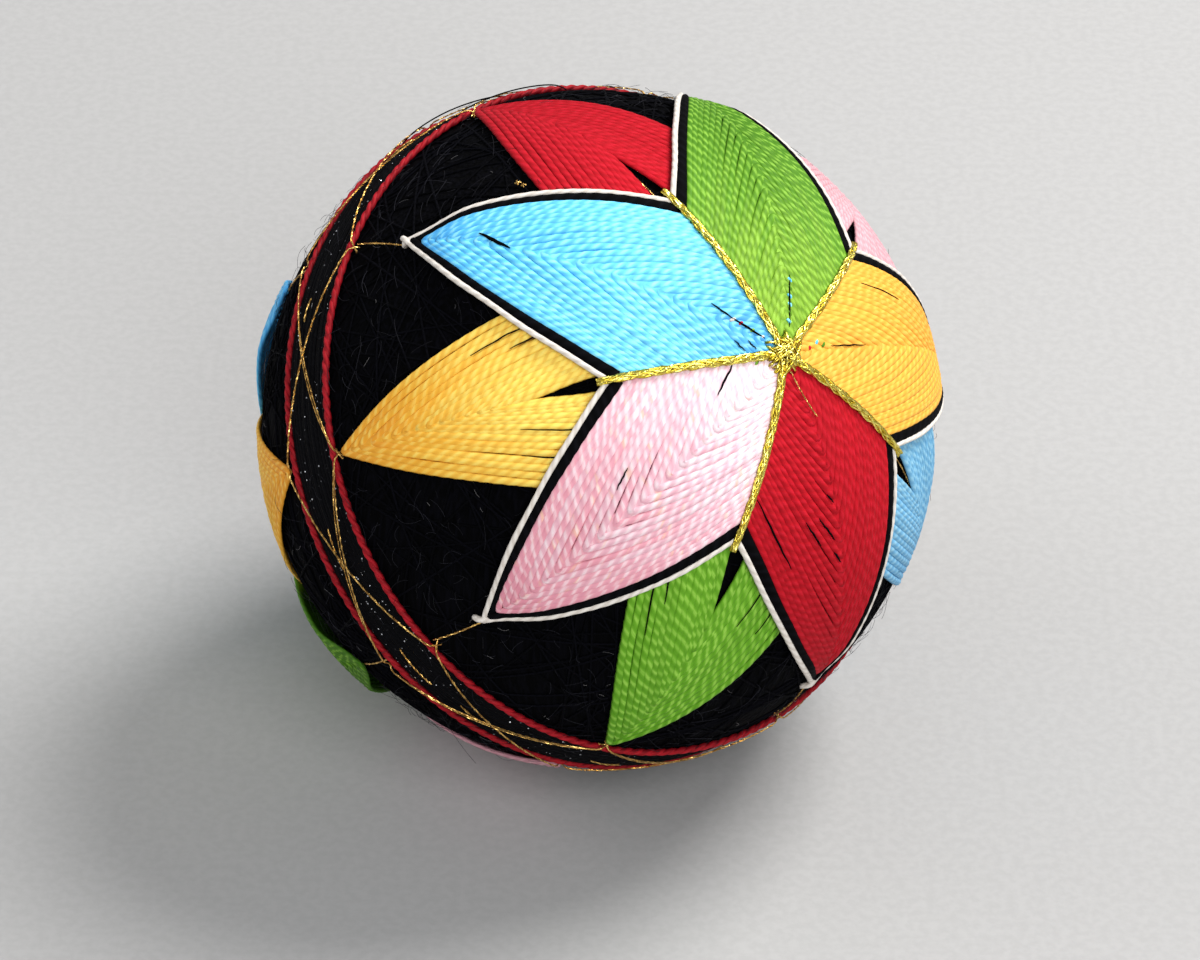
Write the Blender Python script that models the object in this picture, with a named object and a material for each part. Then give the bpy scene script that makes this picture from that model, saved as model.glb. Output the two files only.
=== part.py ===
"""Temari ball: a ball wound with black thread, with thread petals round its poles and a band round its middle.

Everything is laid out on the ball's own axes: +Z runs through the north pole, longitude 0 is at +X, a
colatitude is the angle from a pole, and a lift is a height above the bare wound ball. The finished ball
is then leaned over so that its flat spot is underneath. Lengths are in metres and angles in degrees.
"""

import math

import bmesh
import bpy
from mathutils import Matrix, Vector

# The wound ball, drawn in a little at its poles, where the stitches pile up
EQUATOR_RADIUS = 0.0379
POLE_RADIUS = 0.0363
BALL_SEGMENTS = 36

# How it lies: (colatitude, longitude) of the point underneath and of the point that faces -Y
FLAT_SPOT_AT = (130.4, 144.0)
FLAT_SPOT_DEPTH = 0.0008
FRONT_AT = (56.7, 88.0)

# Heights of the layers: (under side, upper side)
FIRST_LAYER = (0.0003, 0.0009)
SECOND_LAYER = (0.0012, 0.0018)
STAR_LAYER = (0.0021, 0.0026)
BAND_LAYER = (0.0003, 0.0006)
CORD_LAYER = (0.0003, 0.0011)

# The petals. Each is laid as nested Vs with their points towards the band and their arms towards the pole
PETAL_STEP = 72.0
HALF_STEP = PETAL_STEP / 2
UPPER_TIP = 69.6
UPPER_CORNER = 30.4
UPPER_SETTLES = (57.0, 66.0)  # an upper petal comes down from the second layer to the ball between these
LOWER_TIP = 80.5
LOWER_ANCHOR = 32.8
LOWER_HEART = 44.0  # the point of the innermost V of a lower petal
LOWER_HEART_ANCHOR = 11.4
TUCK = 0.0035  # how far a lower petal's arms reach in under the upper petals
POLE_OPENING = 0.14  # the share of an upper petal nearest its pole that the star covers
SIDE_BULGE = 0.0012  # how far a long arm bows out from the straight line
SEAM = 0.00018  # from the middle of the seam between two upper petals to the thread
ARM_STEPS = 5
UPPER_ROWS = 8
LOWER_ROWS = 5

# How a northern petal strays from the pattern: how much further out its tip and its next corner lie, how far
# that corner is turned, and how much of the bow is left in the two sides of the lower petal
UNEVEN = {
    "blue": {"tip": -0.6, "corner": 0.9, "turn": -1.0, "bow": (1.0, 1.0)},
    "pink": {"tip": -0.4, "corner": 1.4, "turn": -4.0, "bow": (1.0, 1.0)},
    "red": {"tip": -2.2, "corner": -0.6, "turn": 0.0, "bow": (1.0, 1.0)},
    "yellow": {"tip": 0.0, "corner": 0.0, "turn": 0.0, "bow": (1.0, 0.15)},
    "green": {"tip": 0.0, "corner": 1.4, "turn": 0.8, "bow": (1.0, 1.0)},
}
EVEN = {"tip": 0.0, "corner": 0.0, "turn": 0.0, "bow": (1.0, 1.0)}

# One V of thread is this share of an upper petal; white and black rounds edge the northern petals
THREAD_SHARE = 0.042
GAP_SHARE = 0.019

# The gold star over the seams
STAR_HUB = 3.3
RIB_BEYOND = 1.2  # how far a rib reaches past the corner of the petals
RIB_WIDTH_AT_HUB = 0.0012
RIB_WIDTH_AT_END = 0.0007
RIB_ROWS = 6

# The band round the middle, and the cord along each of its edges, as colatitudes from the north pole
CORD_EDGES = {"north": (80.95, 82.75), "south": (92.75, 94.55)}
BAND_EDGES = (83.2, 92.3)
BAND_SEGMENTS = 36

# Each pole: which way it points, how much longer its petals are than the northern ones, and the colours
# of its upper petals, from longitude 0. A lower petal has the colour of the upper petal opposite it.
POLES = {
    "north": {"sign": 1, "stretch": 1.0, "colours": ("blue", "pink", "red", "yellow", "green")},
    "south": {"sign": -1, "stretch": 1.0556, "colours": ("blue", "green", "red", "yellow", "pink")},
}

# Linear colour, roughness, metallic
FINISHES = {
    "ball_black": ((0.006, 0.006, 0.008), 0.9, 0.0),
    "black": ((0.008, 0.008, 0.010), 0.6, 0.0),
    "white": ((0.86, 0.84, 0.78), 0.6, 0.0),
    "blue": ((0.08, 0.36, 0.78), 0.55, 0.0),
    "pink": ((0.80, 0.42, 0.50), 0.55, 0.0),
    "red": ((0.52, 0.012, 0.03), 0.55, 0.0),
    "yellow": ((0.88, 0.47, 0.04), 0.55, 0.0),
    "green": ((0.15, 0.36, 0.02), 0.55, 0.0),
    "gold": ((0.72, 0.50, 0.10), 0.3, 1.0),
}


def direction(colatitude, longitude):
    """The unit vector at a colatitude from the north pole and a longitude."""
    theta, phi = math.radians(colatitude), math.radians(longitude)
    return Vector(
        (math.sin(theta) * math.cos(phi), math.sin(theta) * math.sin(phi), math.cos(theta))
    )


def bare_radius(u):
    """The radius of the wound ball in direction u, before its flat spot."""
    return 1 / math.sqrt((1 - u.z**2) / EQUATOR_RADIUS**2 + u.z**2 / POLE_RADIUS**2)


DOWN = direction(*FLAT_SPOT_AT)
FLAT_REACH = bare_radius(DOWN) - FLAT_SPOT_DEPTH


def on_ball(u, lift):
    """The point over direction u at a lift. Every layer is flat over the flat spot, each at its own lift."""
    radius = bare_radius(u) + lift
    facing = u.dot(DOWN)
    if facing > 0:
        radius = min(radius, (FLAT_REACH + lift) / facing)
    return u * radius


def lean():
    """The rotation that puts the flat spot underneath and the front at -Y."""
    up = -DOWN
    front = direction(*FRONT_AT)
    back = -(front - up * front.dot(up)).normalized()
    return Matrix((back.cross(up), back, up))


def finish(name):
    """The material called name, made once."""
    found = bpy.data.materials.get(name)
    if found:
        return found
    made = bpy.data.materials.new(name)
    made.use_nodes = True
    colour, roughness, metallic = FINISHES[name]
    shader = made.node_tree.nodes["Principled BSDF"]
    shader.inputs["Base Color"].default_value = (*colour, 1)
    shader.inputs["Roughness"].default_value = roughness
    shader.inputs["Metallic"].default_value = metallic
    made.diffuse_color = (*colour, 1)
    return made


def place(name, bm, finish_name, axes):
    """Turns a bmesh into an object on the ball's axes."""
    bm.normal_update()
    bmesh.ops.recalc_face_normals(bm, faces=bm.faces)
    mesh = bpy.data.meshes.new(name)
    bm.to_mesh(mesh)
    bm.free()
    mesh.shade_smooth()
    mesh.set_sharp_from_angle(angle=math.radians(40))
    mesh.materials.append(finish(finish_name))
    made = bpy.data.objects.new(name, mesh)
    bpy.context.scene.collection.objects.link(made)
    made.parent = axes
    return made


def layer(name, directions, faces, lifts, finish_name, axes):
    """A closed layer of thread over the ball. lifts(u) gives its under and upper side over a direction."""
    bm = bmesh.new()
    under = [bm.verts.new(on_ball(u, lifts(u)[0])) for u in directions]
    upper = [bm.verts.new(on_ball(u, lifts(u)[1])) for u in directions]
    used = {}
    for face in faces:
        bm.faces.new([upper[i] for i in face])
        bm.faces.new([under[i] for i in reversed(face)])
        for a, b in zip(face, face[1:] + face[:1]):
            used[(a, b)] = used.get((a, b), 0) + 1
    for a, b in used:
        if (b, a) not in used:
            bm.faces.new([upper[b], upper[a], under[a], under[b]])
    return place(name, bm, finish_name, axes)


def grid(rows, closed=False):
    """Rows of directions as one list, and the quads between them. closed joins the ends of each row."""
    across = len(rows[0])
    steps = across if closed else across - 1
    faces = [
        (i * across + j, i * across + (j + 1) % across,
         (i + 1) * across + (j + 1) % across, (i + 1) * across + j)
        for i in range(len(rows) - 1)
        for j in range(steps)
    ]
    return [u for row in rows for u in row], faces


def pole_direction(pole, colatitude, longitude):
    """A direction given by a northern colatitude, stretched and mirrored for the pole that it is for."""
    facts = POLES[pole]
    u = direction(colatitude * facts["stretch"], longitude)
    return Vector((u.x, u.y, u.z * facts["sign"]))


def strays(pole, longitude):
    """How the upper petal at a longitude strays from the pattern."""
    colour = POLES[pole]["colours"][round(longitude / PETAL_STEP) % 5]
    return UNEVEN[colour] if pole == "north" else EVEN


def seam_direction(pole, colatitude, seam):
    """A direction on the seam that follows the upper petal at longitude seam - HALF_STEP."""
    return pole_direction(pole, colatitude, seam + strays(pole, seam - HALF_STEP)["turn"])


def corner_reach(pole, seam):
    return UPPER_CORNER + strays(pole, seam - HALF_STEP)["corner"]


def along_arm(start, end, share, bow=1.0):
    """A point of the gently bowed line between two directions."""
    arc = start.angle(end)
    u = (start * math.sin((1 - share) * arc) + end * math.sin(share * arc)) / math.sin(arc)
    side = end.cross(start).normalized()
    if side.z * (start.z + end.z) > 0:
        side = -side
    out = bow * SIDE_BULGE / EQUATOR_RADIUS * arc * math.sin(math.pi * share)
    return (u + side * out).normalized()


def upper_arm(pole, longitude, inwards, side, share):
    """A point of an upper petal's V: inwards runs from 0 at its outline to 1 at the pole."""
    left = 1 - inwards
    tip = pole_direction(pole, (UPPER_TIP + strays(pole, longitude)["tip"]) * left, longitude)
    seam = longitude + side * HALF_STEP
    corner = seam_direction(pole, corner_reach(pole, seam) * left, seam)
    return along_arm(tip, corner, share)


def lower_arm(pole, longitude, inwards, side, share):
    """A point of a lower petal's V: inwards runs from 0 at its outline to 1 at its innermost V."""
    tip = pole_direction(pole, LOWER_TIP + (LOWER_HEART - LOWER_TIP) * inwards, longitude)
    anchor = LOWER_ANCHOR + (LOWER_HEART_ANCHOR - LOWER_ANCHOR) * inwards
    end = pole_direction(pole, anchor, longitude + side * HALF_STEP)
    bow = strays(pole, longitude + 180)["bow"][0 if side < 0 else 1]
    return along_arm(tip, end, share, bow)


def share_to_tuck(pole, longitude, inwards, side):
    """How much of a lower petal's arm is laid: to TUCK inside the straight edge of the upper petal."""
    tip = upper_arm(pole, longitude + side * HALF_STEP, 0, -side, 0)
    corner = upper_arm(pole, longitude + side * HALF_STEP, 0, -side, 1)
    pole_itself = pole_direction(pole, 0, 0)
    inside = tip.cross(corner).normalized()
    if inside.dot(pole_itself) < 0:
        inside = -inside
    share = 0.0
    while share < 1 and lower_arm(pole, longitude, inwards, side, share).dot(inside) < TUCK / EQUATOR_RADIUS:
        share += 0.01
    return share


def share_to_seam(pole, longitude, inwards, side):
    """How much of an upper petal's arm is laid before it comes to the seam with the next petal."""
    tip = upper_arm(pole, longitude, inwards, side, 0)
    corner = upper_arm(pole, longitude, inwards, side, 1)
    return 1 - SEAM / math.sin(math.radians(45)) / (tip.angle(corner) * EQUATOR_RADIUS)


def v_row(arm, pole, longitude, inwards, laid):
    """One V of thread, from the end of its left arm round its point to the end of its right arm."""
    left, right = (
        [arm(pole, longitude, inwards, side, laid(side) * i / ARM_STEPS) for i in range(ARM_STEPS + 1)]
        for side in (-1, 1)
    )
    return left[:0:-1] + right


def colatitude_from(pole, u):
    """The northern colatitude that u stands for, so that both poles share their heights."""
    facts = POLES[pole]
    return math.degrees(math.acos(max(-1.0, min(1.0, u.z * facts["sign"])))) / facts["stretch"]


def second_layer(pole):
    """The heights of an upper petal: over the lower petals near the pole, down on the ball at its tip."""

    def lifts(u):
        first, last = UPPER_SETTLES
        down = max(0.0, min(1.0, (colatitude_from(pole, u) - first) / (last - first)))
        return tuple(high + (low - high) * down for high, low in zip(SECOND_LAYER, FIRST_LAYER))

    return lifts


def make_ball(axes):
    bm = bmesh.new()
    bmesh.ops.create_uvsphere(
        bm, u_segments=BALL_SEGMENTS, v_segments=BALL_SEGMENTS // 2, radius=1
    )
    to_ball = lean().transposed()
    for vert in bm.verts:
        vert.co = on_ball((to_ball @ vert.co).normalized(), 0)
    return place("mari_ball", bm, "ball_black", axes)


def make_upper_petal(pole, longitude, colour, axes):
    edged = 2 * (THREAD_SHARE + GAP_SHARE) if pole == "north" else 0
    rows = []
    for i in range(UPPER_ROWS + 1):
        inwards = edged + (1 - POLE_OPENING - edged) * i / UPPER_ROWS
        rows.append(v_row(
            upper_arm, pole, longitude, inwards,
            lambda side: share_to_seam(pole, longitude, inwards, side),
        ))
    directions, faces = grid(rows)
    return layer(
        f"{pole}_upper_petal_{colour}", directions, faces, second_layer(pole), colour, axes
    )


def make_lower_petal(pole, longitude, colour, axes):
    rows = []
    for i in range(LOWER_ROWS + 1):
        inwards = i / LOWER_ROWS
        rows.append(v_row(
            lower_arm, pole, longitude, inwards,
            lambda side: share_to_tuck(pole, longitude, inwards, side),
        ))
    directions, faces = grid(rows)
    return layer(
        f"{pole}_lower_petal_{colour}", directions, faces, lambda u: FIRST_LAYER, colour, axes
    )


def make_round(name, pole, first_share, finish_name, axes):
    """One unbroken round of thread that edges all five upper petals, zigzagging from tip to corner."""
    rows = []
    for inwards in (first_share, first_share + THREAD_SHARE):
        row = []
        for petal in range(5):
            row += v_row(upper_arm, pole, petal * PETAL_STEP, inwards, lambda side: 1.0)[:-1]
        rows.append(row)
    directions, faces = grid(rows, closed=True)
    return layer(name, directions, faces, second_layer(pole), finish_name, axes)


def make_star(pole, axes):
    """The gold star: a hub over the pole, and a rib over each seam between two upper petals."""

    def beside(colatitude, seam, width):
        radius = EQUATOR_RADIUS * math.sin(math.radians(colatitude * POLES[pole]["stretch"]))
        turn = strays(pole, seam - HALF_STEP)["turn"]
        return pole_direction(pole, colatitude, seam + turn + math.degrees(width / 2 / radius))

    directions = [pole_direction(pole, 0, 0)]
    faces = []
    for rib in range(5):
        seam = rib * PETAL_STEP + HALF_STEP
        first = len(directions)
        for i in range(RIB_ROWS + 1):
            share = i / RIB_ROWS
            colatitude = STAR_HUB + (corner_reach(pole, seam) + RIB_BEYOND - STAR_HUB) * share
            width = RIB_WIDTH_AT_HUB + (RIB_WIDTH_AT_END - RIB_WIDTH_AT_HUB) * share
            directions += [beside(colatitude, seam, -width), beside(colatitude, seam, width)]
        faces += [
            (first + 2 * i, first + 2 * i + 2, first + 2 * i + 3, first + 2 * i + 1)
            for i in range(RIB_ROWS)
        ]
        directions.append(pole_direction(pole, STAR_HUB, seam + HALF_STEP))
        between = len(directions) - 1
        next_rib = between + 1 if rib < 4 else 1
        faces += [(0, first, first + 1), (0, first + 1, between), (0, between, next_rib)]
    return layer(f"{pole}_gold_star", directions, faces, lambda u: STAR_LAYER, "gold", axes)


def make_ring(name, edges, lifts, finish_name, axes):
    """A ring round the middle of the ball, between two colatitudes from the north pole."""
    rows = [
        [direction(colatitude, 360 * i / BAND_SEGMENTS) for i in range(BAND_SEGMENTS)]
        for colatitude in edges
    ]
    directions, faces = grid(rows, closed=True)
    return layer(name, directions, faces, lambda u: lifts, finish_name, axes)


def stand_on_origin(axes, made):
    """Moves the ball so that it stands at z = 0, with its box centred over the origin."""
    bpy.context.view_layer.update()
    points = [obj.matrix_world @ vert.co for obj in made for vert in obj.data.vertices]
    low = Vector(min(p[i] for p in points) for i in range(3))
    high = Vector(max(p[i] for p in points) for i in range(3))
    axes.location -= Vector(((low.x + high.x) / 2, (low.y + high.y) / 2, low.z))


def main():
    for obj in list(bpy.data.objects):
        bpy.data.objects.remove(obj, do_unlink=True)
    axes = bpy.data.objects.new("ball_axes", None)
    bpy.context.scene.collection.objects.link(axes)
    axes.rotation_mode = "QUATERNION"
    axes.rotation_quaternion = lean().to_quaternion()

    made = [make_ball(axes)]
    for pole, facts in POLES.items():
        for place_in_round, colour in enumerate(facts["colours"]):
            longitude = place_in_round * PETAL_STEP
            made.append(make_upper_petal(pole, longitude, colour, axes))
            made.append(make_lower_petal(pole, longitude + 180, colour, axes))
        made.append(make_star(pole, axes))
        made.append(make_ring(f"band_cord_{pole}", CORD_EDGES[pole], CORD_LAYER, "red", axes))
    made.append(make_round("north_white_round", "north", 0.0, "white", axes))
    made.append(make_round("north_black_round", "north", THREAD_SHARE + GAP_SHARE, "black", axes))
    made.append(make_ring("band_black", BAND_EDGES, BAND_LAYER, "black", axes))
    stand_on_origin(axes, made)


main()
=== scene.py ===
"""Temari ball: its threads laid one by one over the frame's solids, on a pale floor in soft light.

The ball's own axes are those of its solids: +Z runs through the north pole and longitude 0 is at +X. A
colatitude is the angle from a pole. A lift is a height above the bare wound ball. Lengths are in metres
and angles in degrees, unless a name says otherwise.
"""

import math

import bpy
import numpy as np
from mathutils import Matrix, Vector


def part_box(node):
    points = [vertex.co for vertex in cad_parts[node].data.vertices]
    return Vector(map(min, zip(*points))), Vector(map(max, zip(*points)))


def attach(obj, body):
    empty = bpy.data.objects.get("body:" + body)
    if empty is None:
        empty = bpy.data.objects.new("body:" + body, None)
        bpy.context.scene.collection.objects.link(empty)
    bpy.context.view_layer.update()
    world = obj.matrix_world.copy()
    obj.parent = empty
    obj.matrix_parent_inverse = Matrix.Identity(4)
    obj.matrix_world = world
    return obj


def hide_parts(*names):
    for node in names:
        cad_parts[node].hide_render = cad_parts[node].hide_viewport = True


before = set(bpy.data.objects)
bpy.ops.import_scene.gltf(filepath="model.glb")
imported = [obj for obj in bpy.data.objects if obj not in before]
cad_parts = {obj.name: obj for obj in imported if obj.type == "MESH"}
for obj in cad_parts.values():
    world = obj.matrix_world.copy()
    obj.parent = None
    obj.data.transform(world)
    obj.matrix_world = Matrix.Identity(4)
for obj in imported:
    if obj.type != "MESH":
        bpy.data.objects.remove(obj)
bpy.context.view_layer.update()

draw = np.random.default_rng(7)

# The wound ball and how it lies, as its solids have it
EQUATOR_RADIUS = 0.0379
POLE_RADIUS = 0.0363
FLAT_SPOT_AT = (130.4, 144.0)
FLAT_SPOT_DEPTH = 0.0008
FRONT_AT = (56.7, 88.0)
RESTING_LIFT = 0.0018  # the flat spot lies on the outer face of an upper petal

# The petals' pattern
PETAL_STEP = 72.0
HALF_STEP = PETAL_STEP / 2
UPPER_TIP = 69.6
UPPER_CORNER = 30.4
UPPER_SETTLES = (57.0, 66.0)
UPPER_BASE = (0.0012, 0.0003)  # what an upper petal lies on: near the pole, and at its tip
LOWER_BASE = 0.0003
LOWER_TIP = 80.5
LOWER_ANCHOR = 32.8
LOWER_HEART = 44.0
LOWER_HEART_ANCHOR = 5.0
TUCK = 0.0035
SIDE_BULGE = 0.0012
RIB_BEYOND = 1.2
POLES = {
    "north": {"sign": 1, "stretch": 1.0, "colours": ("blue", "pink", "red", "yellow", "green")},
    "south": {"sign": -1, "stretch": 1.0556, "colours": ("blue", "green", "red", "yellow", "pink")},
}
UNEVEN = {
    "blue": {"tip": -0.6, "corner": 0.9, "turn": -1.0, "bow": (1.0, 1.0)},
    "pink": {"tip": -0.4, "corner": 1.4, "turn": -4.0, "bow": (1.0, 1.0)},
    "red": {"tip": -2.2, "corner": -0.6, "turn": 0.0, "bow": (1.0, 1.0)},
    "yellow": {"tip": 0.0, "corner": 0.0, "turn": 0.0, "bow": (1.0, 0.15)},
    "green": {"tip": 0.0, "corner": 1.4, "turn": 0.8, "bow": (1.0, 1.0)},
}
EVEN = {"tip": 0.0, "corner": 0.0, "turn": 0.0, "bow": (1.0, 1.0)}
NORTH_CORD_AT = 81.85
SOUTH_CORD_AT = 93.65
BAND_EDGES = (83.0, 92.5)

# The threads
STEP = 0.0004  # between the rings of a laid thread
EDGE_PITCH = 0.0415  # from the white round to the black one, as a share of the petal
WHITE_AT, BLACK_AT = 0.5 * EDGE_PITCH, 1.45 * EDGE_PITCH  # how far in the edging threads lie
FIRST_V = {"north": 2.45 * EDGE_PITCH, "south": 0.5 * EDGE_PITCH}  # and an upper petal's first V
LAST_V = 0.955
THREAD_PITCH = 0.0355  # from one V of an upper petal to the next
ARM_LAID = 0.985  # how much of an upper petal's arm is laid
THREAD_HALF = 0.00047
WHITE_HALF, BLACK_HALF = 0.00034, 0.00042
BLACK_WIDENS = 0.00034  # how much wider the black edge gets, on each side, towards a petal's corners
CORNER_GAP = 0.05  # how far inside the black edge's corners a northern petal starts, as a share
TIP_CROWD, CROWD_REACH = 0.5, 0.35  # how much closer an upper petal's Vs lie at their points, and how deep
LOWER_THREADS = 15
HEART_SHORT = 0.88  # how far down a lower petal its last V lies, as a share
# From one ply to the next along a petal's thread, a cord's, the band's and the ball's
PLY_MARK, CORD_PLY, BAND_PLY, WINDING_PLY = 0.0015, 0.0016, 0.0011, 0.0008
FOIL_WRAP = 0.0007  # from one wrap of foil to the next
CREST = 0.00070  # the top of a petal's threads over what they lie on


# ---------------------------------------------------------------- the pattern on the ball


def unit(v):
    return v / np.linalg.norm(v, axis=-1, keepdims=True)


def direction(colatitude, longitude):
    """Unit vectors at colatitudes from the north pole and longitudes."""
    theta, phi = np.broadcast_arrays(np.radians(colatitude), np.radians(longitude))
    return np.stack([np.sin(theta) * np.cos(phi), np.sin(theta) * np.sin(phi), np.cos(theta)], -1)


def bare_radius(u):
    return 1 / np.sqrt((1 - u[..., 2] ** 2) / EQUATOR_RADIUS**2 + u[..., 2] ** 2 / POLE_RADIUS**2)


DOWN = direction(*FLAT_SPOT_AT)
FLAT_REACH = float(bare_radius(DOWN)) - FLAT_SPOT_DEPTH


def on_ball(u, lift):
    """The points over directions u at a lift, flat over the flat spot."""
    radius = bare_radius(u) + lift
    facing = np.maximum(u @ DOWN, 1e-6)
    return u * np.minimum(radius, (FLAT_REACH + lift) / facing)[..., None]


def lean():
    """The rotation from the ball's axes to the row's: its rows are right, back and up."""
    up, front = -DOWN, direction(*FRONT_AT)
    back = -unit(front - up * (front @ up))
    return np.array([np.cross(back, up), back, up])


LEAN = lean()
low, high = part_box("mari_ball")
CENTRE = np.array([(low.x + high.x) / 2, (low.y + high.y) / 2, FLAT_REACH + RESTING_LIFT])


def strays(pole, longitude):
    colour = POLES[pole]["colours"][round(longitude / PETAL_STEP) % 5]
    return UNEVEN[colour] if pole == "north" else EVEN


def pole_direction(pole, colatitude, longitude):
    facts = POLES[pole]
    return direction(np.asarray(colatitude) * facts["stretch"], longitude) * (1, 1, facts["sign"])


def seam_direction(pole, colatitude, seam):
    return pole_direction(pole, colatitude, seam + strays(pole, seam - HALF_STEP)["turn"])


def corner_reach(pole, seam):
    return UPPER_CORNER + strays(pole, seam - HALF_STEP)["corner"]


def angle_between(a, b):
    return math.acos(max(-1.0, min(1.0, float(a @ b))))


def along_arm(start, end, shares, bow=1.0):
    """Points of the gently bowed line between two directions."""
    arc = angle_between(start, end)
    shares = np.asarray(shares, float)[:, None]
    u = (start * np.sin((1 - shares) * arc) + end * np.sin(shares * arc)) / math.sin(arc)
    side = unit(np.cross(end, start))
    if side[2] * (start[2] + end[2]) > 0:
        side = -side
    return unit(u + side * (bow * SIDE_BULGE / EQUATOR_RADIUS * arc * np.sin(math.pi * shares)))


def upper_arm(pole, longitude, inwards, side, shares):
    left = 1 - inwards
    tip_left = 1 - inwards * (1 - TIP_CROWD * math.exp(-(inwards / CROWD_REACH) ** 2))
    tip = pole_direction(pole, (UPPER_TIP + strays(pole, longitude)["tip"]) * tip_left, longitude)
    seam = longitude + side * HALF_STEP
    if pole == "north":
        left *= 1 - CORNER_GAP * min(max((inwards - BLACK_AT) / EDGE_PITCH, 0.0), 1.0)
    return along_arm(tip, seam_direction(pole, corner_reach(pole, seam) * left, seam), shares)


def lower_arm(pole, longitude, inwards, side, shares):
    tip = pole_direction(pole, LOWER_TIP + (LOWER_HEART - LOWER_TIP) * HEART_SHORT * inwards, longitude)
    anchor = LOWER_ANCHOR + (LOWER_HEART_ANCHOR - LOWER_ANCHOR) * inwards
    end = pole_direction(pole, anchor, longitude + side * HALF_STEP)
    bow = strays(pole, longitude + 180)["bow"][0 if side < 0 else 1]
    return along_arm(tip, end, shares, bow)


def share_to_tuck(pole, longitude, inwards, side):
    """How much of a lower petal's arm is laid: to TUCK inside the straight edge of the upper petal."""
    tip, corner = upper_arm(pole, longitude + side * HALF_STEP, 0, -side, [0, 1])
    inside = unit(np.cross(tip, corner))
    if inside @ pole_direction(pole, 0, 0) < 0:
        inside = -inside
    shares = np.linspace(0, 1, 101)
    hidden = lower_arm(pole, longitude, inwards, side, shares) @ inside >= TUCK / EQUATOR_RADIUS
    return shares[hidden.argmax()] if hidden.any() else 1.0


def colatitude_from(pole, u):
    facts = POLES[pole]
    return np.degrees(np.arccos(np.clip(u[..., 2] * facts["sign"], -1, 1))) / facts["stretch"]


def upper_base(pole, u):
    """What an upper petal lies on: the lower petals near the pole, the ball at its tip."""
    first, last = UPPER_SETTLES
    down = np.clip((colatitude_from(pole, u) - first) / (last - first), 0, 1)
    down = down * down * (3 - 2 * down)
    return UPPER_BASE[0] + (UPPER_BASE[1] - UPPER_BASE[0]) * down


def outside_star(pole, u, turn, tip, corner):
    """How far directions lie outside a five-pointed outline, in metres, negative inside it."""
    colatitude = colatitude_from(pole, u)
    longitude = np.degrees(np.arctan2(u[..., 1], u[..., 0]))
    folded = np.abs((longitude - turn + HALF_STEP) % PETAL_STEP - HALF_STEP)
    edge = unit(np.cross(direction(tip, 0.0), direction(corner, HALF_STEP)))
    if edge[2] > 0:
        edge = -edge
    return (direction(colatitude, folded) @ edge) * EQUATOR_RADIUS


# ---------------------------------------------------------------- threads


def section(degrees, radii):
    return np.radians(degrees), np.array(radii, float)


LAID = section([0, 45, 90, 135, 180, 270], [1, 1, 1, 1, 1, 0.7])
ROUND = section([0, 45, 90, 135, 180, 225, 270, 315], [1] * 8)
FOIL = section([0, 50, 90, 180, 230, 270], [1, 0.85, 0.7, 1, 0.85, 0.7])
FINE = section([0, 90, 180, 270], [1, 1, 1, 0.6])
FIBRE = section([90, 210, 330], [1, 1, 1])

# The map that colours are baked to: its rows' width, spare length and edge, and their shortest length
ROW_WIDTH = 2.6 * THREAD_HALF
ROW_SPARE = 1.12
ROW_EDGE = 0.04
SHORTEST_ROW = 0.004


def swept_faces(rings, sides):
    """Quads of one swept thread: its walls, then its two ends."""
    i, j = np.meshgrid(np.arange(rings - 1), np.arange(sides), indexing="ij")
    k = (j + 1) % sides
    walls = np.stack([i * sides + j, i * sides + k, (i + 1) * sides + k, (i + 1) * sides + j], -1)
    fan = [(0, n, n + 1, n + 2) for n in range(1, sides - 2, 2)] if sides % 2 == 0 else []
    last = (rings - 1) * sides
    ends = [face[::-1] for face in fan] + [tuple(last + n for n in face) for face in fan]
    return walls.reshape(-1, 4), np.array(ends, int).reshape(-1, 4)


def quad_corners(first, last, low, high):
    """The four corners of each wall, from where it starts and ends along and round its thread."""
    corners = ((first, low), (first, high), (last, high), (last, low))
    return np.stack([np.stack(corner, -1) for corner in corners], 2).reshape(-1, 2)


def swept_maps(item, row, row_length, rows):
    """Where the corners of a thread's faces lie: along and round the thread, and in the baked map."""
    along, angles = item["along"], item["angles"]
    rings, sides = len(along), len(angles)
    i, j = np.meshgrid(np.arange(rings - 1), np.arange(sides), indexing="ij")
    turns = np.append(angles, angles[0] + 2 * math.pi) / (2 * math.pi)
    length = along + item["start"]
    thread = quad_corners(length[i], length[i + 1], turns[j], turns[j + 1])
    last_chunk = max(0, math.ceil(along[-1] / row_length) - 1)
    chunk = np.minimum((along[i] / row_length).astype(int), last_chunk)
    first, last = ((along[k] - chunk * row_length) / (row_length * ROW_SPARE) for k in (i, i + 1))
    low, high = ((row + chunk + ROW_EDGE + (1 - 2 * ROW_EDGE) * k / sides) / rows for k in (j, j + 1))
    baked = quad_corners(first, last, low, high)
    ends = swept_faces(rings, sides)[1].ravel()
    far = ends >= sides
    at = angles[ends % sides]
    end_thread = np.stack([length[far * (rings - 1)], at / (2 * math.pi)], -1)
    beyond = (along[-1] - chunk.max() * row_length) / (row_length * ROW_SPARE) + np.where(far, 0.01, 0.03)
    end_baked = np.stack([
        beyond + 0.006 * np.cos(at), (row + chunk.max() + 0.5 + 0.4 * np.sin(at)) / rows,
    ], -1)
    return np.concatenate([thread, end_thread]), np.concatenate([baked, end_baked])


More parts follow.
